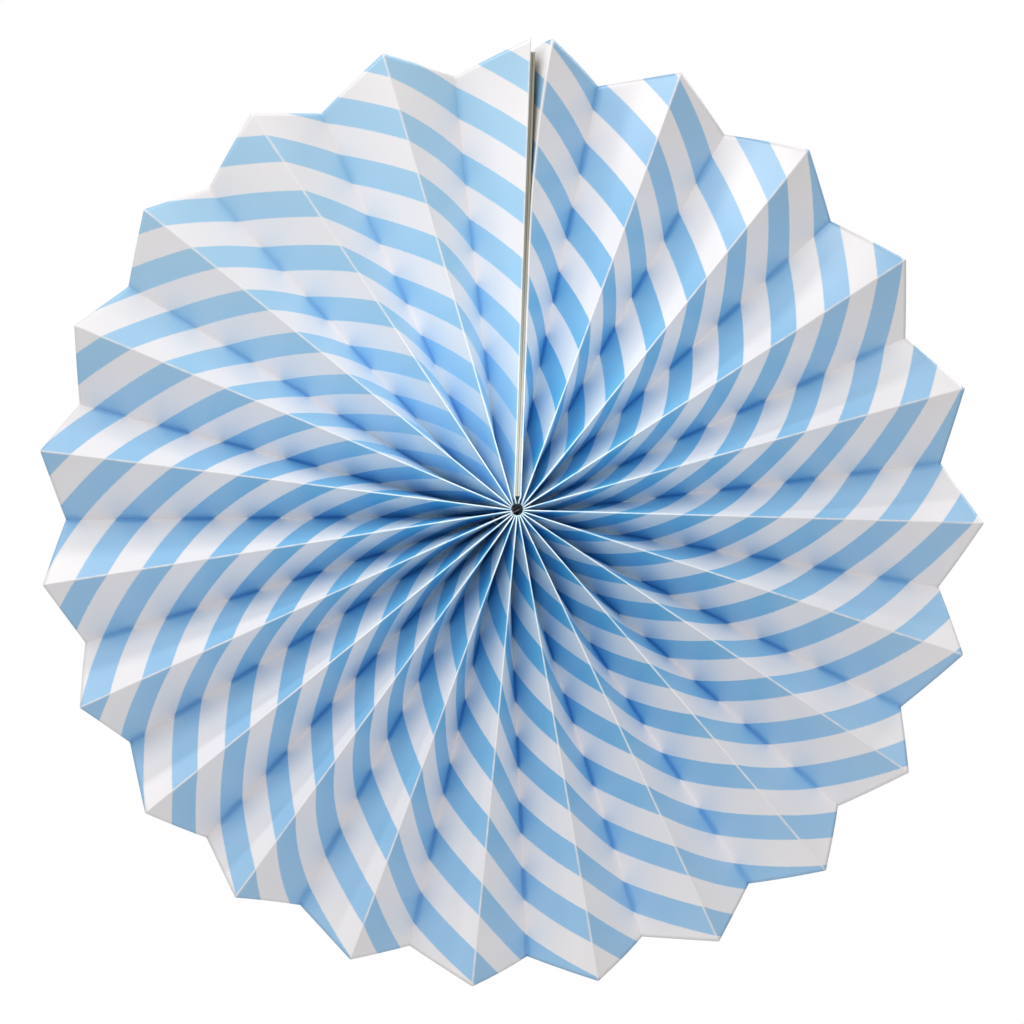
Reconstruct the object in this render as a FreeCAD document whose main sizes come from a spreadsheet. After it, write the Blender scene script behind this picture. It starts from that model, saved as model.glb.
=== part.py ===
"""Paper fan rosette: one pleated strip drawn round into a disc and closed at a stiffened seam.

Frame: the printed front faces -Y, +Z is up along the seam, +X is to the right seen from the
front. The origin is the middle of the hub. Lengths are in millimetres, angles in degrees.
"""
import FreeCAD, Part
import math
import os

from FreeCAD import Placement, Rotation, Vector

# Driving sizes: alias, value, what it is.
SIZES = [
    ("fan_radius", 170.0, "hub axis to the pointed tips"),
    ("notch_depth", 11.0, "how far the slanted cut steps in from a tip to the next notch"),
    ("pleats", 22.0, "mountain folds round the ring, the two at the seam counted as one"),
    ("rim_depth", 16.0, "front to back of an average pleat at the tips"),
    ("pitch_swing", 0.092, "how much wider the pleats stand at the seam than on average"),
    ("pitch_ripple", 0.027, "the same, beside the seam and opposite it against the two sides"),
    ("pleat_lean", 3.0, "how far the pleats opposite the seam have slipped round, clockwise"),
    ("seam_rim_depth", 8.0, "how far the two seam folds stand in front of the hub plane at the rim"),
    ("paper_thickness", 0.2, "the sheet"),
    ("crease_bend", 0.06, "what the crown of a crease is wider than the sheet is thick"),
    ("hub_gap", 0.06, "air between neighbouring creases round the hub"),
    ("card_thickness", 0.8, "greyboard strip"),
    ("card_front_inset", 1.0, "seam fold to the front edge of a card"),
    ("card_back_inset", 2.0, "back edge of a card to the edge of the end panel"),
    ("card_rim_inset", 5.0, "outer end of a card to the circle of tips"),
    ("tape_thickness", 0.16, "double-sided tape between the cards"),
    ("tape_inset", 3.0, "edge of the tape to the edge of a card"),
    ("tape_hub_gap", 12.0, "hub axis to the inner end of the tape"),
    ("thread_radius", 0.45, "binding thread"),
    ("thread_hole_radius", 0.9, "punched hole round the thread"),
    ("thread_ring_radius", 7.0, "hub axis to the thread"),
    ("thread_edge", 2.2, "thread to the inner end of a card"),
    ("hanger_radius", 2.0, "punched hole for hanging"),
    ("hanger_rim_gap", 20.0, "hanging hole to the circle of tips"),
    ("hanger_edge_gap", 4.0, "hanging hole to the back edge of a card"),
    ("flare_width", 6.0, "how far the right seam fold stands off its card at the rim"),
    ("flare_length", 75.0, "stretch of that fold, in from the rim, that stands off"),
    ("peel_width", 12.0, "strip of the right end panel beside its fold that isn't glued"),
]

STATIONS = 10       # points along each crease, between which the sheet is flat facets
RING_SIDES = 8      # sides of the thread and of the needle holes round it
SEAM_GRIP = 0.7     # share of the cards' pull that one crease hands on to the next
RIDGE, VALLEY = -1, 1


def add_size(sheet, row, alias, value, meaning):
    """One row of the spreadsheet: name, number, meaning."""
    sheet.set(f"A{row}", alias)
    sheet.set(f"B{row}", str(value))
    sheet.set(f"C{row}", meaning)
    sheet.setAlias(f"B{row}", alias)


def make_sheet(doc):
    """The driving sizes as a spreadsheet, with the panel's width worked out below them."""
    sheet = doc.addObject("Spreadsheet::Sheet", "Sizes")
    for row, (alias, value, meaning) in enumerate(SIZES, start=1):
        add_size(sheet, row, alias, value, meaning)
    doc.recompute()
    opened = 2 * sheet.fan_radius * math.sin(math.pi / (2 * sheet.pleats))
    width = math.hypot(opened, sheet.rim_depth)
    add_size(sheet, len(SIZES) + 1, "panel_width", width, "one fold of the strip to the next")
    doc.recompute()
    return sheet


class Pleats:
    """Where every crease of the opened strip runs.

    Crease 0 is the right seam fold and the last crease the left one. Even creases are
    mountain folds at the front, odd ones are valley folds at the back.
    """

    def __init__(self, size):
        self.size = size
        self.last = 2 * int(size.pleats)
        self.thick = size.paper_thickness
        self.land = size.paper_thickness + size.crease_bend
        self.tip = size.fan_radius
        self.card_face = size.tape_thickness / 2 + size.card_thickness
        self.seam_x = self.card_face + self.thick / 2
        first_x = self.seam_x + self.land / 2
        around = self.last * (self.land + size.hub_gap) + 2 * first_x
        self.hub = around / (2 * math.pi)
        self.hub_start = math.degrees(math.asin(first_x / self.hub))
        self.rim_start = math.degrees(math.asin(first_x / self.tip))
        self.width = size.panel_width

    def hub_angle(self, crease):
        """Azimuth of a crease at the hub, where the creases stand evenly packed."""
        return self.hub_start + (360 - 2 * self.hub_start) * crease / self.last

    def rim_angle(self, crease):
        """Azimuth at the rim: wider pleats beside the seam, slipped round opposite it."""
        share = crease / self.last
        turn = 2 * math.pi * share
        swing = self.size.pitch_swing * math.sin(turn)
        ripple = self.size.pitch_ripple * math.sin(2 * turn) / 2
        spread = share + (swing + ripple) / (2 * math.pi)
        slip = self.size.pleat_lean * (1 - math.cos(turn)) / 2
        return self.rim_start + (360 - 2 * self.rim_start) * spread + slip

    def flare(self, crease, radius):
        """How far the right seam fold stands off its card at a radius."""
        start = self.tip - self.size.flare_length
        if crease != 0 or radius <= start:
            return 0.0
        return self.size.flare_width * ((radius - start) / self.size.flare_length) ** 2

    def plan(self, crease, radius):
        """Place of a crease seen from the front, as (x, z)."""
        share = (radius - self.hub) / (self.tip - self.hub)
        near, far = math.radians(self.hub_angle(crease)), math.radians(self.rim_angle(crease))
        x = (1 - share) * self.hub * math.sin(near) + share * self.tip * math.sin(far)
        z = (1 - share) * self.hub * math.cos(near) + share * self.tip * math.cos(far)
        return x + self.flare(crease, radius), z

    def run(self, panel, radius):
        """Distance across a panel seen from the front."""
        x0, z0 = self.plan(panel, radius)
        x1, z1 = self.plan(panel + 1, radius)
        return math.hypot(x1 - x0, z1 - z0)

    def rise(self, panel, radius):
        """Distance across a panel from front to back, so that its true width stays the same."""
        return math.sqrt(self.width ** 2 - self.run(panel, radius) ** 2)

    def seam_line(self, radius):
        """Depth of the straight seam folds, which the cards keep stiff."""
        share = (radius - self.hub) / (self.tip - self.hub)
        return -self.width / 2 + share * (self.width / 2 - self.size.seam_rim_depth)

    def depth(self, crease, radius):
        """Depth of a crease: half a pleat off the middle, drawn to the seam's line beside it."""
        beside = [p for p in (crease - 1, crease) if 0 <= p < self.last]
        mean_rise = sum(self.rise(p, radius) for p in beside) / len(beside)
        facing = VALLEY if crease % 2 else RIDGE
        right_pull = self.seam_line(radius) + self.rise(0, radius) / 2
        left_pull = self.seam_line(radius) + self.rise(self.last - 1, radius) / 2
        pull = right_pull * SEAM_GRIP ** crease + left_pull * SEAM_GRIP ** (self.last - crease)
        return facing * mean_rise / 2 + pull

    def slope(self, crease, side, radius):
        """Angle of the panel on one side of a crease, from lying flat to standing on edge."""
        panel = crease if side > 0 else crease - 1
        if 0 <= panel < self.last:
            other = panel + 1 if side > 0 else panel
            lift = abs(self.depth(other, radius) - self.depth(crease, radius))
            return math.atan2(lift, self.run(panel, radius) - self.land)
        return math.atan2(self.size.peel_width, self.flare(crease, radius))

    def corner(self, crease, side, facing, radius):
        """One edge of a crease's flat crown, on the face of the sheet turned to -Y or +Y."""
        x, z = self.plan(crease, radius)
        azimuth = math.radians(self.rim_angle(crease))
        fold = VALLEY if crease % 2 else RIDGE
        outside = 1 if fold == facing else -1
        mitre = self.thick / 2 * math.tan(self.slope(crease, side, radius) / 2)
        across = side * (self.land / 2 + outside * mitre)
        if crease in (0, self.last):
            azimuth = 0.0
        return Vector(x + across * math.cos(azimuth),
                      self.depth(crease, radius) + facing * self.thick / 2,
                      z - across * math.sin(azimuth))

    def reach(self, back):
        """Outer end of a line that lies this far back across a panel from its mountain fold."""
        return self.tip - self.size.notch_depth * back / self.width

    def stations(self, outer):
        """Radii from the hub to the outer end, closer together where the creases bend more."""
        steps = [i / (STATIONS - 1) for i in range(STATIONS)]
        return [self.hub + (outer - self.hub) * step * (3 - step) / 2 for step in steps]


def end_lines(pleats, side, facing):
    """Lines of an end panel, from its free edge to the peel line, on one face of the sheet.

    side is 1 on the right and -1 on the left. The printed face lies on the card.
    """
    x = side * (pleats.seam_x + facing * pleats.thick / 2)
    lines = []
    for back in (pleats.width, pleats.size.peel_width):
        radii = pleats.stations(pleats.reach(back))
        lines.append([Vector(x, pleats.seam_line(r) + back, r) for r in radii])
    return lines


def skin(pleats, facing):
    """Edges of one face of the sheet, in order along the strip from right to left end."""
    lines = end_lines(pleats, 1, facing)
    for crease in range(pleats.last + 1):
        outer = pleats.reach(pleats.width if crease % 2 else 0)
        radii = pleats.stations(outer)
        for side in (-1, 1):
            lines.append([pleats.corner(crease, side, facing, r) for r in radii])
    lines.extend(reversed(end_lines(pleats, -1, facing)))
    return lines


def facets(line, other):
    """Flat triangles between two lines that have as many points, two to each step."""
    corners = []
    for a, b, c, d in zip(line, line[1:], other[1:], other):
        corners += [(a, b, c), (a, c, d)]
    return [Part.Face(Part.makePolygon([*three, three[0]])) for three in corners]


def paper_solid(pleats):
    """The folded strip: two skins, closed along the hub, the rim and its two ends."""
    front, back = skin(pleats, RIDGE), skin(pleats, VALLEY)
    faces = []
    for lines in (front, back):
        for line, other in zip(lines, lines[1:]):
            faces += facets(line, other)
    for end in (0, -1):
        faces += facets([line[end] for line in front], [line[end] for line in back])
        faces += facets(front[end], back[end])
    sheet = Part.makeCompound(faces)
    sheet.sewShape()
    solid = Part.makeSolid(sheet.Shells[0])
    if solid.Volume < 0:
        solid.reverse()
    return solid


def seam_lean(pleats):
    """Tilt of the seam folds and the cards, which stand less far forward at the rim."""
    drop = pleats.seam_line(pleats.tip) - pleats.seam_line(pleats.hub)
    return math.degrees(math.atan2(drop, pleats.tip - pleats.hub))


def add_strip(doc, pleats, name, left_face, inset, height, sizes):
    """A flat strip on edge along the seam folds, with its outer end cut at the sheet's slant.

    left_face is its lowest x, inset its distance behind the folds, height its inner end.
    sizes holds expressions for its thickness, its width and its length along the front.
    """
    thickness, width, length = sizes
    strip = doc.addObject("Part::Wedge", name)
    for low in ("Xmin", "X2min", "Ymin", "Zmin", "Z2min"):
        setattr(strip, low, 0)
    strip.setExpression("Xmax", thickness)
    strip.setExpression("X2max", thickness)
    strip.setExpression("Ymax", width)
    strip.setExpression("Zmax", length)
    strip.setExpression("Z2max", f"{length} - Sizes.notch_depth * ({width}) / Sizes.panel_width")
    corner = Vector(left_face, pleats.seam_line(height) + inset, height)
    strip.Placement = Placement(corner, Rotation(Vector(1, 0, 0), -seam_lean(pleats)))
    return strip


def add_ring(doc, name, tube):
    """A ring round the hub axis at the thread's radius, its section an even polygon."""
    section = doc.addObject("Part::RegularPolygon", name + "_section")
    section.Polygon = RING_SIDES
    section.setExpression("Circumradius", tube)
    section.setExpression("Placement.Base.x", "Sizes.thread_ring_radius")
    ring = doc.addObject("Part::Revolution", name)
    ring.Source = section
    ring.Axis = Vector(0, 1, 0)
    ring.Solid = True
    return ring


def add_holes(doc, pleats):
    """What is punched out: the round of thread holes, and the hanging hole through the seam."""
    size = pleats.size
    height = size.fan_radius - size.hanger_rim_gap
    card_back = pleats.seam_line(height) + pleats.width - size.card_back_inset
    half_seam = pleats.seam_x + pleats.thick
    punch = doc.addObject("Part::Cylinder", "hanger_punch")
    punch.setExpression("Radius", "Sizes.hanger_radius")
    punch.Height = 2 * half_seam
    centre = Vector(-half_seam, card_back - size.hanger_edge_gap, height)
    punch.Placement = Placement(centre, Rotation(Vector(0, 1, 0), 90))
    print("hanging hole at", tuple(round(v, 3) for v in punch.Placement.Base),
          "through", round(2 * (pleats.seam_x + pleats.thick / 2), 3))
    holes = doc.addObject("Part::Compound", "punched_holes")
    holes.Links = [add_ring(doc, "thread_punch", "Sizes.thread_hole_radius"), punch]
    return holes


def add_cut(doc, label, base, tool):
    """A finished piece: its blank with the holes punched."""
    piece = doc.addObject("Part::Cut", label)
    piece.Label = label
    piece.Base = base
    piece.Tool = tool
    return piece


def build_pieces(doc, pleats):
    """Every piece of the rosette as an object of the document."""
    size = pleats.size
    holes = add_holes(doc, pleats)
    card_start = size.thread_ring_radius - size.thread_edge
    card = ("Sizes.card_thickness",
            "Sizes.panel_width - Sizes.card_front_inset - Sizes.card_back_inset",
            "Sizes.fan_radius - Sizes.card_rim_inset - Sizes.thread_ring_radius + Sizes.thread_edge")
    tape = ("Sizes.tape_thickness",
            f"{card[1]} - 2 * Sizes.tape_inset",
            "Sizes.fan_radius - Sizes.card_rim_inset - Sizes.tape_inset - Sizes.tape_hub_gap")
    half_tape = size.tape_thickness / 2
    tape_inset = size.card_front_inset + size.tape_inset
    blanks = {
        "pleated_paper": doc.addObject("Part::Feature", "paper_blank"),
        "seam_card_right": add_strip(doc, pleats, "card_blank_right", half_tape,
                                     size.card_front_inset, card_start, card),
        "seam_card_left": add_strip(doc, pleats, "card_blank_left", -pleats.card_face,
                                    size.card_front_inset, card_start, card),
        "seam_tape": add_strip(doc, pleats, "tape_blank", -half_tape,
                               tape_inset, size.tape_hub_gap, tape),
    }
    blanks["pleated_paper"].Shape = paper_solid(pleats)
    pieces = [add_cut(doc, label, blank, holes) for label, blank in blanks.items()]
    thread = add_ring(doc, "binding_thread", "Sizes.thread_radius")
    thread.Label = "binding_thread"
    return pieces + [thread]


def check(doc, pieces):
    """Stops the script where an object failed or a piece isn't one valid solid."""
    for item in doc.Objects:
        if "Invalid" in item.State or "Error" in item.State:
            raise RuntimeError(f"{item.Name} failed: {item.State}")
    for piece in pieces:
        shape = piece.Shape
        if shape.isNull() or not shape.isValid() or len(shape.Solids) != 1:
            raise RuntimeError(f"{piece.Label} isn't one valid solid")


def main():
    """Builds the document and writes one file for each piece."""
    doc = FreeCAD.newDocument("paper_fan_rosette")
    pleats = Pleats(make_sheet(doc))
    pieces = build_pieces(doc, pleats)
    doc.recompute()
    check(doc, pieces)
    os.makedirs("parts", exist_ok=True)
    for piece in pieces:
        piece.Shape.exportStep(f"parts/{piece.Label}.step")
        box = piece.Shape.BoundBox
        print(f"{piece.Label}: {piece.Shape.Volume:.1f} mm3, {len(piece.Shape.Faces)} faces,",
              f"x {box.XMin:.2f} {box.XMax:.2f}, y {box.YMin:.2f} {box.YMax:.2f},",
              f"z {box.ZMin:.2f} {box.ZMax:.2f}")


main()
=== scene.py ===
# %% [markdown]
# A pleated paper rosette, dressed in Blender around its fixed frame.
#
# The real thing is one long printed strip, folded to and fro like a fan and drawn round until
# its two stiffened ends meet. Nearly all of its look comes from two things: light that rakes
# across the folds, and straight stripes that the folds turn into a swirl. So the lesson spends
# most of its cells on the folded sheet, and on a print that lies on the flat sheet and follows
# every panel.

# %% Load the frame
import math

import bpy
import numpy as np
from mathutils import Matrix, Vector


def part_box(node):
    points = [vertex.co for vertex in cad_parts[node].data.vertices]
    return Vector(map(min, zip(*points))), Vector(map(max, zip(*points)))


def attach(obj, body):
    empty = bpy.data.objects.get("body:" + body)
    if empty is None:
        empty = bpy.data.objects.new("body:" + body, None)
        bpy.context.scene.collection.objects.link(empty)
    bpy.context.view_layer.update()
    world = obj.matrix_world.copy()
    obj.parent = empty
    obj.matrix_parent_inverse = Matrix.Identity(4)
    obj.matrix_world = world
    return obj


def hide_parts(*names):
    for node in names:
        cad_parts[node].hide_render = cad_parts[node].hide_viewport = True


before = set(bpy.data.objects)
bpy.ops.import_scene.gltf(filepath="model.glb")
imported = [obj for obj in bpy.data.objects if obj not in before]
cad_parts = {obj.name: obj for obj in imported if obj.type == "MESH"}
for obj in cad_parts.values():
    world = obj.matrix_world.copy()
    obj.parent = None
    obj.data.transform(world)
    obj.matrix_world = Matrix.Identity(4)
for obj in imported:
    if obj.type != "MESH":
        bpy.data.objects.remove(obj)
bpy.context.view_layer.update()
print("frame nodes:", sorted(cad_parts))

# %% [markdown]
# The strip's own sizes come first, in millimetres, because a paper worker thinks in them:
# how wide a panel is from fold to fold, how many folds there are, where the slanted cut lies.
# The outer radius is read from the frame. Everything the folds do follows from these few. Round
# the hub the sheet closes a little further than the frame's solid does, and the two end panels
# are squeezed together there, because real paper gives way where a solid needs its clearance.

# %% Sizes of the folded strip
MM = 0.001
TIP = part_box("pleated_paper")[1][2] / MM
NOTCH_DEPTH = 11.0
PLEATS = 22
RIM_DEPTH = 16.0
PITCH_SWING, PITCH_RIPPLE = 0.092, 0.027
PLEAT_LEAN = 3.0
SEAM_RIM_DEPTH = 8.0
THICK = 0.2
FOLD_ROUND = 0.06
LAND = THICK + FOLD_ROUND
HUB_GAP = 0.06
CARD_FACE = 0.88
FLARE_WIDTH, FLARE_LENGTH, PEEL = 6.0, 75.0, 12.0
SEAM_GRIP = 0.7
EYE_CLOSING = 0.45
CARD_START, PINCH = 4.75, 0.22

LAST = 2 * PLEATS
SEAM_X = CARD_FACE + THICK / 2
FIRST_X = SEAM_X + LAND / 2
HUB = (LAST * (LAND + HUB_GAP) + 2 * FIRST_X) / (2 * math.pi)
INNER = HUB - EYE_CLOSING
HUB_START = math.asin(FIRST_X / HUB)
RIM_START = math.asin(FIRST_X / TIP)
WIDTH = math.hypot(2 * TIP * math.sin(math.pi / LAST), RIM_DEPTH)
print(f"tip radius {TIP:.1f} mm, hub opening {HUB:.2f} mm, panel width {WIDTH:.2f} mm")

# %% [markdown]
# Every crease is a nearly straight line from the hub to the rim. At the hub the creases stand
# packed side by side, at the rim they are spread round the circle. A panel keeps its width
# while its two creases part, so the further they are apart the shallower the pleat is: depth is
# the other leg of a right triangle whose long side is the panel. Whole tables of creases by
# radius come out of each function at once.

# %% Where the creases run
CREASE = np.arange(LAST + 1)[:, None]


def rim_angle(crease):
    """Azimuth in radians, clockwise from the seam: a + (2 pi - 2a) (s + w / 2 pi) + slip, with s
    the crease's share of the way round and w = swing sin(2 pi s) + ripple sin(4 pi s) / 2."""
    share = crease / LAST
    turn = 2 * math.pi * share
    swing = PITCH_SWING * np.sin(turn) + PITCH_RIPPLE * np.sin(2 * turn) / 2
    spread = share + swing / (2 * math.pi)
    slip = math.radians(PLEAT_LEAN) * (1 - np.cos(turn)) / 2
    return RIM_START + (2 * math.pi - 2 * RIM_START) * spread + slip


def pinch(radius):
    """Share of its full half width that the seam keeps: 1 along the cards, and less where the
    two end panels are squeezed together between the cards' inner ends and the hub."""
    return np.clip(1 - (1 - PINCH) * (CARD_START - radius) / (CARD_START - INNER), PINCH, 1)


def plan(crease, radius, shift):
    """Place seen from the front: a straight line from hub to rim, with the right seam fold
    bending off by a square law near the rim. shift turns each crease's outer end a little."""
    share = (radius - HUB) / (TIP - HUB)
    near = HUB_START + (2 * math.pi - 2 * HUB_START) * crease / LAST
    far = rim_angle(crease) + shift
    out = np.clip((radius - TIP + FLARE_LENGTH) / FLARE_LENGTH, 0, None)
    flare = np.where(crease == 0, FLARE_WIDTH * out ** 2, 0.0)
    squeeze = np.where(crease == 0, -1.0, 0.0) + np.where(crease == LAST, 1.0, 0.0)
    squeeze = squeeze * SEAM_X * (1 - pinch(radius))
    x = (1 - share) * HUB * np.sin(near) + share * TIP * np.sin(far) + flare + squeeze
    z = (1 - share) * HUB * np.cos(near) + share * TIP * np.cos(far)
    return x, z


def seam_line(radius):
    """Depth of the stiff seam folds: straight from half a panel at the hub to the rim."""
    share = (radius - HUB) / (TIP - HUB)
    return -WIDTH / 2 + share * (WIDTH / 2 - SEAM_RIM_DEPTH)


def depths(x, z, radius):
    """Depth of every crease at every radius: plus or minus half the pleat's rise, drawn to the
    seam's straight line beside the seam. rise squared = panel squared - run squared."""
    run = np.hypot(np.diff(x, axis=0), np.diff(z, axis=0))
    rise = np.sqrt(WIDTH ** 2 - run ** 2)
    mean = np.empty_like(x)
    mean[0], mean[-1] = rise[0], rise[-1]
    mean[1:-1] = (rise[:-1] + rise[1:]) / 2
    right = (seam_line(radius[0]) + rise[0] / 2) * SEAM_GRIP ** CREASE
    left = (seam_line(radius[-1]) + rise[-1] / 2) * SEAM_GRIP ** (LAST - CREASE)
    facing = np.where(CREASE % 2 == 1, 1.0, -1.0)
    return facing * mean / 2 + right + left


# %% [markdown]
# Hand-folded paper is never quite even. The outer ends of the creases wander by a fraction of a
# degree, each panel bows a little to one side, its surface carries a faint long ripple, and the
# points are cut up to half a millimetre short. All of it is drawn from one seeded generator, so
# each run gives the same sheet.

# %% Small unevenness, seeded
SEED = 23
CREASE_WANDER = math.radians(0.22)
BOW_MEAN, BOW_SPREAD = 0.45, 0.35
RIPPLE_WAVES, RIPPLE_FIRST, RIPPLE_RISE = 3, 1.3, 0.10
TIP_TRIM = 0.5

rng = np.random.default_rng(SEED)
crease_shift = rng.normal(0, CREASE_WANDER, LAST + 1)
crease_shift[[0, 1, -2, -1]] = 0
panel_bow = rng.normal(BOW_MEAN, BOW_SPREAD, LAST)
ripple_phase = rng.uniform(0, 2 * math.pi, (LAST, RIPPLE_WAVES))
tip_trim = rng.uniform(0.0, TIP_TRIM, LAST + 1)
print("widest crease wander", round(math.degrees(np.abs(crease_shift).max()), 2), "degrees")

# %% [markdown]
# The sheet's mesh is a grid: columns run along the creases and rows run from the hub to the rim.
# Columns crowd together at the creases, where the paper bends round its own thickness, and
# spread out across the flat of each panel. Rows lie closer towards the rim, and one more marks
# the cards' inner ends. A subdivided box or a displaced plane could not hold such folds, and
# worked out as arrays the whole strip is a few lines.

# %% The folded middle surface
ROWS = 58
ACROSS = np.array([0, 0.13, 0.24, 0.5, 1.1, 2.4, 4.6, 7.6, 11.0])
columns = np.concatenate([ACROSS, [WIDTH / 2], WIDTH - ACROSS[::-1]])
row = np.linspace(0, 1, ROWS)
row = row * (3 - row) / 2
row = np.insert(row, 1, (CARD_START - INNER) / (TIP - INNER))


def cross_panel(distance):
    """Share of the way across a panel, flat over each crease's land: clip((d - l) / (w - 2l))."""
    return np.clip((distance - LAND / 2) / (WIDTH - LAND), 0, 1)


def land_part(distance):
    """How far a column lies inside a crease's land, in mm from the land's edge, signed."""
    return np.minimum(distance, LAND / 2), np.maximum(distance - (WIDTH - LAND / 2), 0)


def ring_surface():
    """Middle surface of the ring: each column is a mix of its two creases, plus its place on a
    crease's land, plus a bow sin(pi q) and ripples along the panel's normal."""
    reach = TIP - np.where(CREASE % 2 == 1, NOTCH_DEPTH, 0.0) - tip_trim[:, None]
    radius = INNER + (reach - INNER) * row
    x, z = plan(CREASE, radius, crease_shift[:, None])
    level_radius = INNER + (TIP - INNER) * row + 0 * reach
    level_x, level_z = plan(CREASE, level_radius, crease_shift[:, None])
    y_level = depths(level_x, level_z, level_radius)
    y = np.stack([np.interp(r, lr, d) for r, lr, d in zip(radius, level_radius, y_level)])
    line = np.stack([x, y, z], axis=-1)
    angle = rim_angle(CREASE[:, 0])
    angle[0] = angle[-1] = 0.0
    along = np.stack([np.cos(angle), 0 * angle, -np.sin(angle)], axis=-1)[:, None]
    start = line[:-1] + along[:-1] * LAND / 2
    stop = line[1:] - along[1:] * LAND / 2
    share = cross_panel(columns)[:, None, None]
    first, second = land_part(columns)
    ends = (first - LAND / 2)[:, None, None, None] * along[:-1]
    ends = ends + second[:, None, None, None] * along[1:]
    mixed = start[None] * (1 - share[..., None]) + stop[None] * share[..., None]
    surface = (mixed + ends).transpose(1, 0, 2, 3)
    across = stop - start
    ahead = np.gradient(start + stop, axis=1)
    normal = np.cross(ahead, across)
    normal /= np.linalg.norm(normal, axis=-1, keepdims=True)
    normal *= np.where(normal[..., 1:2] > 0, -1, 1)
    q = cross_panel(columns)
    length = row[None, None, :]
    wave = sum(np.sin((i + RIPPLE_FIRST) * math.pi * length + ripple_phase[:, i, None, None])
               for i in range(RIPPLE_WAVES)) * RIPPLE_RISE
    bow = (panel_bow[:, None, None] * length + wave * length) * np.sin(math.pi * q)[None, :, None]
    return surface + bow[..., None] * normal[:, None]


ring = ring_surface()
print("ring surface:", ring.shape[0], "panels of", ring.shape[1], "columns and", ring.shape[2], "rows")

# %% [markdown]
# The two end panels don't lie in the ring. Each stands edgewise behind its seam fold, glued to
# a strip of greyboard. Near the rim the right one has let go of its card along the fold, so it
# curves off to the side and shows a narrow wedge of print.

# %% The end panels
def end_panel(side):
    """Straight columns behind a seam fold, and a curve x = flare (1 - b / peel) squared where
    the strip beside the fold has let go; b is the distance back from the fold."""
    back = WIDTH - columns[:-1] if side > 0 else columns[1:]
    reach = TIP - NOTCH_DEPTH * back / WIDTH
    radius = INNER + (reach[:, None] - INNER) * row
    out = np.clip((radius - TIP + FLARE_LENGTH) / FLARE_LENGTH, 0, None)
    loose = np.clip(1 - back[:, None] / PEEL, 0, 1) ** 2
    flare = FLARE_WIDTH * out ** 2 * loose if side > 0 else 0 * radius
    front = seam_line(radius)
    return np.stack([side * SEAM_X * pinch(radius) + flare, front + back[:, None], radius], axis=-1)


def whole_strip():
    """Every column of the strip in order from its right end to its left end, with its place on
    the flat sheet: u along the strip in mm from the right seam fold, v out from the hub."""
    parts = [end_panel(1)] + [panel[:-1] for panel in ring[:-1]] + [ring[-1]] + [end_panel(-1)]
    u = [columns[:-1] - WIDTH] + [columns[:-1] + i * WIDTH for i in range(LAST - 1)]
    u += [columns + (LAST - 1) * WIDTH, columns[1:] + LAST * WIDTH]
    points = np.concatenate(parts)
    u = np.concatenate(u)
    v = np.hypot(points[..., 0], points[..., 2])
    return points, np.stack([np.broadcast_to(u[:, None], v.shape), v], axis=-1)


strip, flat = whole_strip()
print("strip grid:", strip.shape[:2], "flat length", round(float(flat[-1, 0, 0] - flat[0, 0, 0]), 1), "mm")

# %% [markdown]
# A sheet needs its thickness for the rim to catch light and for the hub to look packed. A
# Solidify modifier would do, but near the hub the panels stand closer than their own thickness
# allows it to guess, so both faces are offset here along the grid's own normals. The printed
# face, the plain back and the cut edge get a material each.

# %% Give the sheet its thickness
def grid_normals(points):
    """Unit cross product of the two grid directions, towards the printed face."""
    normal = np.cross(np.gradient(points, axis=0), np.gradient(points, axis=1))
    return normal / np.linalg.norm(normal, axis=-1, keepdims=True)


def grid_quads(count, rows, start, flip):
    """Vertex numbers of the quads of a grid of columns by rows."""
    number = start + np.arange(count * rows).reshape(count, rows)
    quads = np.stack([number[:-1, :-1], number[1:, :-1], number[1:, 1:], number[:-1, 1:]], axis=-1)
    quads = quads.reshape(-1, 4)
    return quads[:, ::-1] if flip else quads


def border_quads(count, rows, start):
    """Quads that join the outlines of the two faces all the way round."""
    number = np.arange(count * rows).reshape(count, rows)
    loop = np.concatenate([number[:, 0], number[-1, 1:], number[-2::-1, -1], number[0, -2:0:-1]])
    ahead = np.roll(loop, -1)
    return np.stack([loop, loop + start, ahead + start, ahead], axis=-1)


def mesh_from(name, points, quads, materials, face_material, flat_mm=None, smooth=None):
    """A mesh object in metres from arrays of points in mm and quads. It is shaded smooth, save
    the faces that smooth marks as False."""
    mesh = bpy.data.meshes.new(name)
    mesh.vertices.add(len(points))
    mesh.vertices.foreach_set("co", (points * MM).astype(np.float32).ravel())
    mesh.loops.add(quads.size)
    mesh.loops.foreach_set("vertex_index", quads.astype(np.int32).ravel())
    mesh.polygons.add(len(quads))
    mesh.polygons.foreach_set("loop_start", np.arange(0, quads.size, 4, dtype=np.int32))
    for material in materials:
        mesh.materials.append(material)
    mesh.polygons.foreach_set("material_index", face_material.astype(np.int32))
    mesh.update(calc_edges=True)
    if flat_mm is not None:
        layer = mesh.uv_layers.new(name="flat_sheet")
        layer.data.foreach_set("uv", (flat_mm * MM)[quads.ravel()].astype(np.float32).ravel())
    mesh.polygons.foreach_set("use_smooth", np.ones(len(quads), bool) if smooth is None else smooth)
    mesh.validate()
    piece = bpy.data.objects.new(name, mesh)
    bpy.context.collection.objects.link(piece)
    return piece


# %% [markdown]
# Materials read the flat sheet's own coordinates, so the print and the fibres stay put on the
# paper however it is folded. One small function adds a node, one turns the usual hex colours into
# the linear values that a renderer works with, and the rest are short names for common nodes.

# %% Helpers for materials
def linear(hex_colour):
    """sRGB hex to linear: c / 12.92 below 0.04045, else ((c + 0.055) / 1.055) to the 2.4."""
    channels = [int(hex_colour[i:i + 2], 16) / 255 for i in (1, 3, 5)]
    return [c / 12.92 if c <= 0.04045 else ((c + 0.055) / 1.055) ** 2.4 for c in channels] + [1.0]


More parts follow.
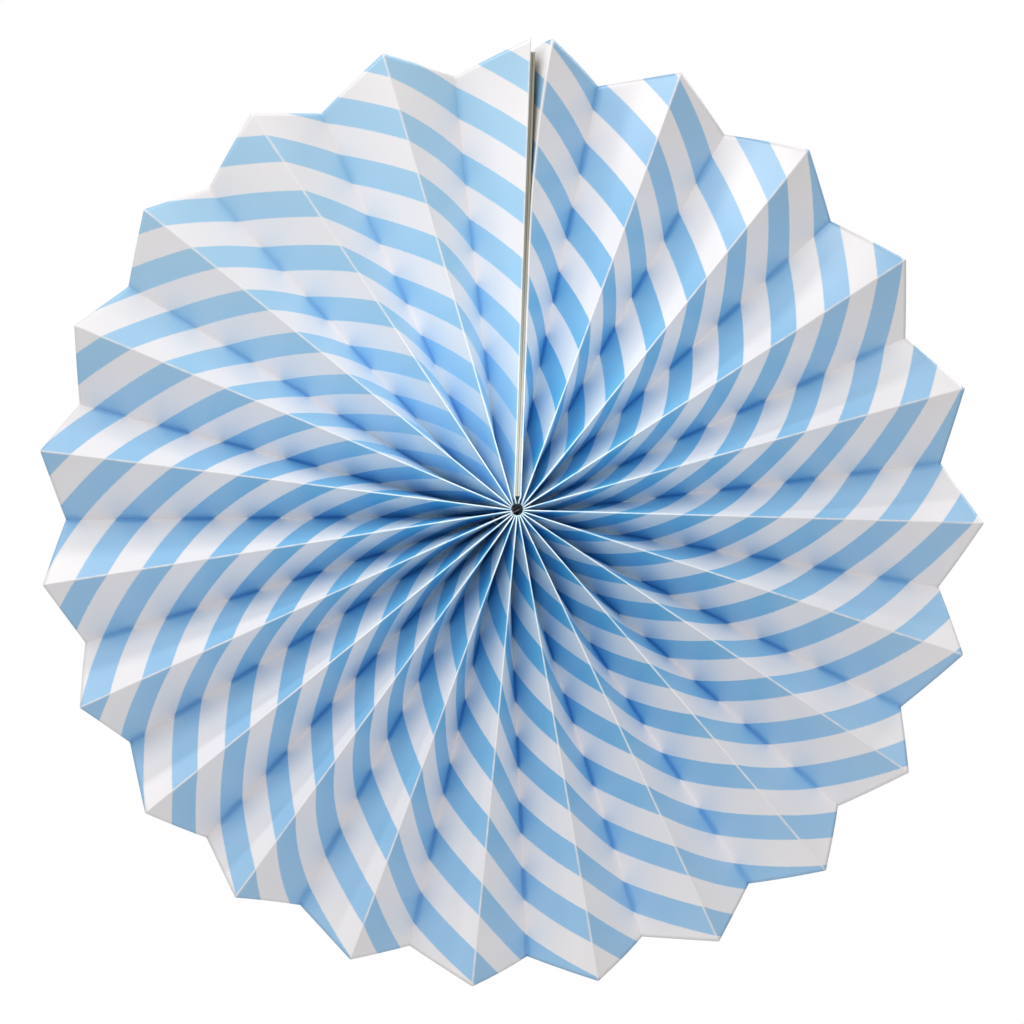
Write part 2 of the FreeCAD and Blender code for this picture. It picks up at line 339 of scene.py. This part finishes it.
def add_node(material, kind, settings=None, **inputs):
    """A node of the given kind: settings are its properties, inputs its socket values or links.
    An underscore in a socket's name stands for a space; a number picks a socket by its place."""
    node = material.node_tree.nodes.new(kind)
    for key, value in (settings or {}).items():
        setattr(node, key, value)
    for key, value in inputs.items():
        socket = node.inputs[int(key[1:])] if key[1:].isdigit() else node.inputs[key.replace("_", " ")]
        if isinstance(value, bpy.types.NodeSocket):
            material.node_tree.links.new(value, socket)
        else:
            socket.default_value = value
    return node


def new_material(name):
    """An empty node material, its output node and nothing else."""
    material = bpy.data.materials.new(name)
    material.use_nodes = True
    material.node_tree.nodes.clear()
    return material


def finish_material(material, shader):
    """Links a shader node to the output."""
    output = add_node(material, "ShaderNodeOutputMaterial")
    material.node_tree.links.new(shader.outputs[0], output.inputs["Surface"])
    return material


def math_node(material, operation, *values):
    """The result socket of one Math node."""
    sockets = {f"i{place}": value for place, value in enumerate(values)}
    return add_node(material, "ShaderNodeMath", {"operation": operation}, **sockets).outputs[0]


def mix_colour(material, factor, below, above):
    """The result socket of a colour mix from below to above."""
    node = add_node(material, "ShaderNodeMix", {"data_type": "RGBA"}, i0=factor, i6=below, i7=above)
    return node.outputs[2]


def ramp(material, value, start, stop, low=0.0, high=1.0, curve="SMOOTHSTEP"):
    """The result socket of a range: low where value is start, high where it is stop."""
    node = add_node(material, "ShaderNodeMapRange", {"interpolation_type": curve}, Value=value,
                    From_Min=start, From_Max=stop, To_Min=low, To_Max=high)
    return node.outputs[0]


# %% [markdown]
# The print is offset ink on a coated white sheet of about 160 grams: broad diagonal bands of
# light blue and bare white, nearly as wide as each other. On the flat sheet a band climbs at about
# 31 degrees. Its phase is (out + slope x along) / period, so one triangle wave of that phase, cut
# off about half way, is the whole pattern. Coated stock has a satin sheen and no mirror gloss.
# The ink is painted paler towards the rim, a painted sheen, and towards the left end of the strip,
# painted light where the lamps fall on the upper left. Painted shade deepens the ink and turns the
# bare paper bluer and darker towards the hub, and darkens the ink along the valley folds, as light
# bouncing from blue to blue in the deep folds would.

# %% Printed face
STRIPE_PERIOD = 23.7 * MM
STRIPE_SLOPE = 0.6045
STRIPE_START = -4.192
BLUE_SHARE = 0.48
EDGE_BLUR, EDGE_WOBBLE = 0.012, 0.02
SLIP_PANELS = 6.5, 10.5
SLIP_TURNS = -0.11, 0.03
# Painted sheen: the ink towards the rim, where the satin coat would catch the lamps.
INK_RIM_SHEEN = linear("#A4D0F4")
INK = linear("#85C4EC")
# Deeper ink: painted shade of the deep folds round the hub, and also the real mottle of the ink.
INK_HUB_SHADE_AND_MOTTLE = linear("#1FB0E4")
# Painted shade: darker ink along the valley folds.
INK_VALLEY_SHADE = linear("#2F97DC")
# Painted light: the ink paler on the strip's left end, the upper left of the ring, where the lamps fall.
INK_LEFT_LIGHT = linear("#B0DCF7")
PAPER = linear("#F8F6F8")
# Painted shade: bare paper bluer and darker round the hub, as if blue light bounced in the deep folds.
PAPER_HUB_SHADE = linear("#D6E9F4")
RIM_SHEEN_FADE = 0.07, 0.15
# Painted shade round the hub: where it fades in, and how much of the ink it deepens.
HUB_SHADE_FADE, HUB_SHADE_DEPTH = (0.09, 0.015), 0.70
# Painted light on the upper left: where along the strip it fades in, and how far.
LEFT_LIGHT_FADE, LEFT_LIGHT_SHARE = (0.77, 0.86), 0.75
MOTTLE = 0.16
# Painted shade along the valley folds: its width, stronger towards the hub, and weaker on the upper left.
VALLEY_SHADE_WIDTH = 3.0 * MM
VALLEY_SHADE_FADE, VALLEY_SHADE_SHARE = (0.05, 0.16), (0.95, 0.30)
VALLEY_SHADE_LOSS = 0.9
# Bare paper along the mountain folds: partly cracked ink, partly a painted highlight on the lit crests; at
# the right seam fold, a painted highlight.
CRACK_HIGHLIGHT_WIDTH, CRACK_HIGHLIGHT_GAIN, CRACK_HIGHLIGHT_MOST = 0.65 * MM, 1.5, 0.8
SEAM_HIGHLIGHT_FADE, SEAM_HIGHLIGHT = (0.4 * MM, 0.9 * MM), 0.85


def sheet_place(material):
    """Sockets of u and v on the flat sheet, in metres."""
    uv = add_node(material, "ShaderNodeUVMap", {"uv_map": "flat_sheet"}).outputs[0]
    parts = add_node(material, "ShaderNodeSeparateXYZ", i0=uv)
    return uv, parts.outputs[0], parts.outputs[1]


def stripe_mask(material, uv, u, v):
    """1 on the blue bands: a triangle wave of (v + slope u) / period, cut with a soft edge. The
    panels nearest the right seam fold lie a seventh of a period off the rest, so the phase
    slips there."""
    wander = add_node(material, "ShaderNodeTexNoise", Vector=uv, Scale=900.0, Detail=2.0)
    wobble = math_node(material, "MULTIPLY_ADD", wander.outputs[0], EDGE_WOBBLE,
                       STRIPE_START - EDGE_WOBBLE / 2)
    climb = math_node(material, "MULTIPLY_ADD", u, STRIPE_SLOPE, v)
    phase = math_node(material, "MULTIPLY_ADD", climb, 1 / STRIPE_PERIOD, wobble)
    slip_from, slip_to = (panels * WIDTH * MM for panels in SLIP_PANELS)
    phase = math_node(material, "ADD", phase, ramp(material, u, slip_from, slip_to, *SLIP_TURNS))
    wave = math_node(material, "PINGPONG", phase, 0.5)
    cut = BLUE_SHARE / 2
    return ramp(material, wave, cut - EDGE_BLUR, cut + EDGE_BLUR, 1.0, 0.0)


def near_fold(material, u, valley, reach):
    """1 on a fold falling to 0 at reach metres from it: mountain folds, or valley folds."""
    offset = math_node(material, "ADD", u, (LAST + 2) * WIDTH * MM + (WIDTH * MM if valley else 0))
    distance = math_node(material, "PINGPONG", offset, WIDTH * MM)
    return ramp(material, distance, 0.0, reach, 1.0, 0.0)


def blue_ink(material, u, v, density, hub_shade):
    """Colour of the ink over the sheet: a painted sheen makes it paler to the rim, painted light paler to
    the strip's left end, painted shade deeper to the hub and along the valley folds; and it is a
    little mottled."""
    length = LAST * WIDTH * MM
    # Painted sheen: the ink is mixed paler towards the rim.
    painted_rim_sheen = ramp(material, v, *RIM_SHEEN_FADE)
    # Painted light: the ink is mixed paler towards the strip's left end, the upper left of the ring.
    painted_left_light = ramp(material, u, LEFT_LIGHT_FADE[0] * length, LEFT_LIGHT_FADE[1] * length, 0.0, LEFT_LIGHT_SHARE)
    ink = mix_colour(material, painted_rim_sheen, INK, INK_RIM_SHEEN)
    # Painted shade: the ink deepens towards the hub.
    ink = mix_colour(material, math_node(material, "MULTIPLY", hub_shade, HUB_SHADE_DEPTH), ink, INK_HUB_SHADE_AND_MOTTLE)
    ink = mix_colour(material, math_node(material, "MULTIPLY", density, MOTTLE), ink, INK_HUB_SHADE_AND_MOTTLE)
    # Painted light on the upper left.
    ink = mix_colour(material, painted_left_light, ink, INK_LEFT_LIGHT)
    # Painted shade: darker ink along the valley folds, most towards the hub and least where the painted
    # light is.
    valley_shade_inward = ramp(material, v, *VALLEY_SHADE_FADE, *VALLEY_SHADE_SHARE, "LINEAR")
    painted_valley_shade = math_node(material, "MULTIPLY", near_fold(material, u, True, VALLEY_SHADE_WIDTH), valley_shade_inward)
    valley_shade_kept = math_node(material, "MULTIPLY_ADD", painted_left_light, -VALLEY_SHADE_LOSS, 1.0)
    return mix_colour(material, math_node(material, "MULTIPLY", painted_valley_shade, valley_shade_kept), ink, INK_VALLEY_SHADE)


def cracked_and_highlit_folds(material, uv, u):
    """Share of bare paper along the mountain folds, partly cracked ink and partly a painted highlight on
    the lit crests, and most at the right seam fold, where it is a painted highlight.
    """
    grit = add_node(material, "ShaderNodeTexNoise", Vector=uv, Scale=260.0, Detail=3.0)
    fold_crack_and_highlight = math_node(material, "MULTIPLY", near_fold(material, u, False, CRACK_HIGHLIGHT_WIDTH), grit.outputs[0])
    fold_crack_and_highlight = math_node(material, "MULTIPLY", fold_crack_and_highlight, CRACK_HIGHLIGHT_GAIN)
    fold_crack_and_highlight = math_node(material, "MINIMUM", fold_crack_and_highlight, CRACK_HIGHLIGHT_MOST)
    # Painted highlight: the right seam fold's crest is painted as bare white paper.
    from_seam = math_node(material, "ABSOLUTE", u)
    seam_highlight = ramp(material, from_seam, *SEAM_HIGHLIGHT_FADE, SEAM_HIGHLIGHT, 0.0)
    return math_node(material, "MAXIMUM", fold_crack_and_highlight, seam_highlight)


def printed_face():
    """Satin coated paper with offset ink: along the mountain folds the ink shows white, partly cracked and
    partly a painted highlight.
    """
    material = new_material("offset_printed_paper")
    uv, u, v = sheet_place(material)
    mask = stripe_mask(material, uv, u, v)
    density = add_node(material, "ShaderNodeTexNoise", Vector=uv, Scale=45.0, Detail=3.0)
    # Painted shade: the bare paper turns darker and bluer towards the hub.
    hub_shade = ramp(material, v, *HUB_SHADE_FADE)
    bare = mix_colour(material, hub_shade, PAPER, PAPER_HUB_SHADE)
    ink = blue_ink(material, u, v, density.outputs[0], hub_shade)
    colour = mix_colour(material, mask, bare, ink)
    colour = mix_colour(material, cracked_and_highlit_folds(material, uv, u), colour, bare)
    fibre = add_node(material, "ShaderNodeTexNoise", Vector=uv, Scale=700.0, Detail=4.0)
    bump = add_node(material, "ShaderNodeBump", Strength=0.12, Distance=0.00008,
                    Height=fibre.outputs[0])
    rough = ramp(material, density.outputs[0], 0.0, 1.0, 0.34, 0.44, "LINEAR")
    shader = add_node(material, "ShaderNodeBsdfPrincipled", Base_Color=colour,
                      Roughness=rough, Normal=bump.outputs[0], IOR=1.52,
                      Specular_IOR_Level=0.95)
    return finish_material(material, shader)


# %% [markdown]
# The back of the strip is the same sheet without ink. It is a shade duller, and against the
# light the bands of the front show through it very faintly.

# %% Plain back and cut edge
# Painted shade on the cut edge at the hub: where it starts and ends.
HUB_EDGE_SHADE_FADE = 0.003, 0.006


def plain_back():
    """Uncoated side of the sheet, with the print ghosting through."""
    material = new_material("uncoated_paper_back")
    uv, u, v = sheet_place(material)
    mask = stripe_mask(material, uv, u, v)
    ghost = math_node(material, "MULTIPLY", mask, 0.10)
    colour = mix_colour(material, ghost, linear("#F1F0ED"), INK)
    fibre = add_node(material, "ShaderNodeTexNoise", Vector=uv, Scale=520.0, Detail=5.0)
    cloud = math_node(material, "MULTIPLY", fibre.outputs[0], 0.08)
    colour = mix_colour(material, cloud, colour, linear("#D9D8D3"))
    bump = add_node(material, "ShaderNodeBump", Strength=0.22, Distance=0.0001,
                    Height=fibre.outputs[0])
    shader = add_node(material, "ShaderNodeBsdfPrincipled", Base_Color=colour, Roughness=0.72,
                      Normal=bump.outputs[0])
    return finish_material(material, shader)


def cut_edge():
    """The guillotined edge: bare crushed fibres, greyer than either face, with painted shade darkening it
    at the hub.
    """
    material = new_material("guillotined_paper_edge")
    uv, _, v = sheet_place(material)
    fibre = add_node(material, "ShaderNodeTexNoise", Vector=uv, Scale=900.0, Detail=3.0)
    colour = mix_colour(material, fibre.outputs[0], linear("#C9CBD0"), linear("#AFB3BB"))
    # Painted shade: the cut edge darkens in the hub's eye.
    inner = ramp(material, v, *HUB_EDGE_SHADE_FADE, 1.0, 0.0, "LINEAR")
    colour = mix_colour(material, inner, colour, linear("#5E6B7C"))
    shader = add_node(material, "ShaderNodeBsdfPrincipled", Base_Color=colour, Roughness=0.85)
    return finish_material(material, shader)


printed, plain, edge = printed_face(), plain_back(), cut_edge()
print("paper materials:", printed.name, plain.name, edge.name)

# %% [markdown]
# Now the two faces and the edge become one closed piece, which stands for the sheet's solid.

# %% Build the folded sheet
def folded_sheet():
    """Both faces of the strip, half a thickness either side of the middle surface."""
    count, rows = strip.shape[:2]
    normal = grid_normals(strip) * THICK / 2
    if normal[count // 2, rows // 2, 1] > 0:
        normal = -normal
    points = np.concatenate([(strip + normal).reshape(-1, 3), (strip - normal).reshape(-1, 3)])
    flat_mm = np.concatenate([flat.reshape(-1, 2), flat.reshape(-1, 2)])
    faces = [grid_quads(count, rows, 0, False), grid_quads(count, rows, count * rows, True),
             border_quads(count, rows, count * rows)]
    kind = np.repeat([0, 1, 2], [len(part) for part in faces])
    piece = mesh_from("folded_striped_sheet", points, np.concatenate(faces),
                      [printed, plain, edge], kind, flat_mm, kind < 2)
    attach(piece, "root")
    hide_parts("pleated_paper")
    return piece


sheet = folded_sheet()
print("folded sheet:", len(sheet.data.polygons), "faces")

# %% [markdown]
# The seam is held by plain things. Greyboard is pressed from pulped paper in layers, so its cut
# edge shows fine lines along its length, with darker flecks, and it is made paler towards the hub.
# The tape between the boards is a clear film with a slightly yellow glue.

# %% Greyboard and tape
HUB_PALE_FADE, HUB_PALE_SHARE = (0.09, 0.02), 0.45
FLECK_FADE, FLECK_SHARE = (0.62, 0.75), 0.35


def greyboard():
    """Layered grey pulp board: fine layers across its thickness, flecks on its faces."""
    material = new_material("greyboard")
    place = add_node(material, "ShaderNodeTexCoord").outputs["Object"]
    layered = add_node(material, "ShaderNodeMapping", Vector=place, Scale=(6000.0, 60.0, 60.0))
    layers = add_node(material, "ShaderNodeTexNoise", Vector=layered.outputs[0], Scale=1.0, Detail=3.0)
    fleck = add_node(material, "ShaderNodeTexNoise", Vector=place, Scale=1400.0, Detail=4.0)
    colour = mix_colour(material, layers.outputs[0], linear("#B9B7A6"), linear("#8F8D7C"))
    height = add_node(material, "ShaderNodeSeparateXYZ", i0=place).outputs[2]
    # Paler towards the hub.
    hub_pale = ramp(material, height, *HUB_PALE_FADE, 0.0, HUB_PALE_SHARE, "LINEAR")
    colour = mix_colour(material, hub_pale, colour, linear("#DEDDD6"))
    dark = ramp(material, fleck.outputs[0], *FLECK_FADE, 0.0, FLECK_SHARE, "LINEAR")
    colour = mix_colour(material, dark, colour, linear("#6E6A5C"))
    bump = add_node(material, "ShaderNodeBump", Strength=0.4, Distance=0.0001,
                    Height=fleck.outputs[0])
    shader = add_node(material, "ShaderNodeBsdfPrincipled", Base_Color=colour, Roughness=0.88,
                      Normal=bump.outputs[0])
    return finish_material(material, shader)


def adhesive_film():
    """Double-sided tape: a thin film, its glue a little yellow and tacky, so not quite matt."""
    material = new_material("double_sided_tape")
    place = add_node(material, "ShaderNodeTexCoord").outputs["Object"]
    blot = add_node(material, "ShaderNodeTexNoise", Vector=place, Scale=180.0, Detail=3.0)
    colour = mix_colour(material, blot.outputs[0], linear("#E9E3C8"), linear("#D6CDA6"))
    shader = add_node(material, "ShaderNodeBsdfPrincipled", Base_Color=colour, Roughness=0.35)
    return finish_material(material, shader)


def dress(node, material):
    """Gives a frame node its only material."""
    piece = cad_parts[node]
    piece.data.materials.clear()
    piece.data.materials.append(material)


board = greyboard()
for name in ("seam_card_left", "seam_card_right"):
    dress(name, board)
dress("seam_tape", adhesive_film())
print("seam dressed in", board.name)

# %% [markdown]
# The thread that ties the hub together runs through a hole in every panel. It is two-ply
# cotton, so its section is a waist with two lobes that turn as the thread goes round.

# %% Binding thread
THREAD_RING = 7.0
THREAD_RADIUS = 0.41
PLY_TURNS, PLY_LOBE = 22, 0.14
THREAD_STEPS, THREAD_SIDES = 264, 16


def cotton():
    """Undyed cotton yarn: dull, with darker grooves between its fibres."""
    material = new_material("two_ply_cotton")
    place = add_node(material, "ShaderNodeTexCoord").outputs["Object"]
    fuzz = add_node(material, "ShaderNodeTexNoise", Vector=place, Scale=2500.0, Detail=3.0)
    colour = mix_colour(material, fuzz.outputs[0], linear("#F4F1E8"), linear("#D8D3C4"))
    bump = add_node(material, "ShaderNodeBump", Strength=0.5, Distance=0.0001, Height=fuzz.outputs[0])
    shader = add_node(material, "ShaderNodeBsdfPrincipled", Base_Color=colour, Roughness=0.9,
                      Normal=bump.outputs[0], Sheen_Weight=0.3)
    return finish_material(material, shader)


def twisted_ring():
    """A ring whose section is r (1 - k + k cos 2(t - n a)), with k the lobes' share, t the angle
    round the tube and a the angle round the hub."""
    around = np.linspace(0, 2 * math.pi, THREAD_STEPS, endpoint=False)[:, None]
    tube = np.linspace(0, 2 * math.pi, THREAD_SIDES, endpoint=False)[None]
    radius = THREAD_RADIUS * (1 - PLY_LOBE + PLY_LOBE * np.cos(2 * (tube - PLY_TURNS * around)))
    out = THREAD_RING + radius * np.cos(tube)
    points = np.stack([out * np.cos(around), radius * np.sin(tube) + 0 * around,
                       out * np.sin(around)], axis=-1)
    number = np.arange(THREAD_STEPS * THREAD_SIDES).reshape(THREAD_STEPS, THREAD_SIDES)
    ahead = np.roll(number, -1, axis=0)
    quads = np.stack([number, np.roll(number, -1, axis=1), np.roll(ahead, -1, axis=1), ahead], axis=-1)
    return mesh_from("binding_thread_two_ply", points.reshape(-1, 3), quads.reshape(-1, 4),
                     [cotton()], np.zeros(number.size))


thread = twisted_ring()
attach(thread, "root")
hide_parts("binding_thread")
print("thread:", len(thread.data.polygons), "faces")

# %% [markdown]
# The set is plain: a pale floor below and a white surround that gives a soft fill from all sides.
# The floor lies well below the fan, so that it only sends up a little light.

# %% Floor and surround
FLOOR_DEPTH = -0.45
FLOOR_SIZE = 1.4


def white_surround(fill):
    """A world that shows plain white to the camera and gives the object a soft even fill."""
    world = bpy.data.worlds.new("studio")
    world.use_nodes = True
    world.node_tree.nodes.clear()
    bpy.context.scene.world = world
    path = add_node(world, "ShaderNodeLightPath")
    seen = math_node(world, "MAXIMUM", path.outputs["Is Camera Ray"], path.outputs["Is Transmission Ray"])
    light = add_node(world, "ShaderNodeBackground", Color=linear("#FFFCFA"), Strength=fill)
    white = add_node(world, "ShaderNodeBackground", Color=(1, 1, 1, 1), Strength=1.0)
    mixed = add_node(world, "ShaderNodeMixShader", i0=seen, i1=light.outputs[0], i2=white.outputs[0])
    output = add_node(world, "ShaderNodeOutputWorld")
    world.node_tree.links.new(mixed.outputs[0], output.inputs["Surface"])


def pale_floor():
    """A matt pale plate under the hanging rosette."""
    material = new_material("pale_floor")
    shader = add_node(material, "ShaderNodeBsdfPrincipled", Base_Color=linear("#F2F2F2"), Roughness=0.9)
    finish_material(material, shader)
    half = FLOOR_SIZE / 2 / MM
    corners = np.array([(-half, -half), (half, -half), (half, half), (-half, half)])
    points = np.column_stack([corners, np.full(4, FLOOR_DEPTH / MM)])
    return mesh_from("floor", points, np.array([[0, 1, 2, 3]]), [material], np.zeros(1))


FILL = 0.555
white_surround(FILL)
pale_floor()
print("floor at", FLOOR_DEPTH, "m")

# %% [markdown]
# What makes pleats read is a lamp that rakes almost along the sheet, here a long strip to the
# upper left and only a little in front: each fold then has a lit side and a shaded one. A broad
# soft lamp on the same side models the panels, and a second strip rakes the back. The deep folds
# round the hub would go nearly black, so one small soft lamp stands close before them.

# %% Strip lamps
KEY_AZIMUTH, KEY_REACH, KEY_FRONT = -34.0, 0.42, 0.11
KEY_LENGTH, KEY_DEPTH, KEY_WATTS = 0.50, 0.02, 0.42
BACK_REACH, BACK_FRONT = 0.55, -0.22
BACK_DEPTH, BACK_WATTS = 0.05, 0.8
NEAR_AZIMUTH, NEAR_REACH, NEAR_FRONT = -10.0, 0.022, 0.095
NEAR_SIDE, NEAR_WATTS = 0.06, 0.053


def add_strip_lamp(name, azimuth, reach, front, length, depth, watts):
    """A flat oblong lamp that faces the hub. azimuth is clockwise from the seam in degrees; reach
    and front are its distances out along the fan and before it."""
    a = math.radians(azimuth)
    place = Vector((reach * math.sin(a), -front, reach * math.cos(a)))
    along = Vector((math.cos(a), 0.0, -math.sin(a)))
    away = place.normalized()
    data = bpy.data.lights.new(name, "AREA")
    data.shape, data.size, data.size_y, data.energy = "RECTANGLE", length, depth, watts
    lamp = bpy.data.objects.new(name, data)
    turned = Matrix((along, away.cross(along), away)).transposed()
    lamp.matrix_world = Matrix.Translation(place) @ turned.to_4x4()
    lamp.visible_camera = False
    bpy.context.collection.objects.link(lamp)


add_strip_lamp("raking_key", KEY_AZIMUTH, KEY_REACH, KEY_FRONT, KEY_LENGTH, KEY_DEPTH, KEY_WATTS)
add_strip_lamp("raking_back", -KEY_AZIMUTH, BACK_REACH, BACK_FRONT, KEY_LENGTH, BACK_DEPTH, BACK_WATTS)
add_strip_lamp("near_hub_lamp", NEAR_AZIMUTH, NEAR_REACH, NEAR_FRONT, NEAR_SIDE, NEAR_SIDE, NEAR_WATTS)
print("key lamp", KEY_WATTS, "W,", round(math.degrees(math.atan2(KEY_FRONT, KEY_REACH)), 1), "degrees up")

# %% High soft lamp
HIGH_AZIMUTH, HIGH_HEIGHT, HIGH_STRENGTH, HIGH_SPREAD = -34.0, 38.0, 0.74, 30.0


def add_high_lamp(name, azimuth, height, strength, spread):
    """A broad distant lamp, height degrees out of the fan's plane and spread degrees wide."""
    a, h = math.radians(azimuth), math.radians(height)
    towards = Vector((math.sin(a) * math.cos(h), -math.sin(h), math.cos(a) * math.cos(h)))
    data = bpy.data.lights.new(name, "SUN")
    data.energy, data.angle = strength, math.radians(spread)
    lamp = bpy.data.objects.new(name, data)
    lamp.rotation_euler = towards.to_track_quat("Z", "Y").to_euler()
    bpy.context.collection.objects.link(lamp)


add_high_lamp("high_soft_lamp", HIGH_AZIMUTH, HIGH_HEIGHT, HIGH_STRENGTH, HIGH_SPREAD)
print("high lamp", HIGH_HEIGHT, "degrees out of the fan's plane")

# %% [markdown]
# Light finds its way into the folds only by bouncing from panel to panel. A few bounces leave
# them too dark, so a dozen are let through.

# %% Bounces between the panels
DIFFUSE_BOUNCES = 12
bpy.context.scene.cycles.diffuse_bounces = DIFFUSE_BOUNCES
print("diffuse bounces:", bpy.context.scene.cycles.diffuse_bounces)

# %% [markdown]
# The camera stands about where the photograph was taken from: two metres away, a quarter of a
# metre to the left of the hub and a little below it, with the seam leaning just off upright. There
# the valleys slide a few millimetres against the ridges, and that slide gives the depth away.

# %% Camera
CAMERA_PLACE = Vector((-0.262, -2.12, -0.154))
CAMERA_ROLL = 2.3
VIEW_WIDTH = 0.366


def add_camera():
    """A camera aimed at the hub, rolled so that the seam leans clockwise by its roll."""
    data = bpy.data.cameras.new("camera")
    data.lens = data.sensor_width * CAMERA_PLACE.length / VIEW_WIDTH
    camera = bpy.data.objects.new("camera", data)
    bpy.context.collection.objects.link(camera)
    camera.location = CAMERA_PLACE
    aim = (-CAMERA_PLACE).to_track_quat("-Z", "Y").to_matrix()
    camera.rotation_euler = (aim @ Matrix.Rotation(math.radians(CAMERA_ROLL), 3, "Z")).to_euler()
    bpy.context.scene.camera = camera


add_camera()
bpy.context.scene.view_settings.view_transform = "Standard"
print("camera", round(CAMERA_PLACE.length, 3), "m from the hub")
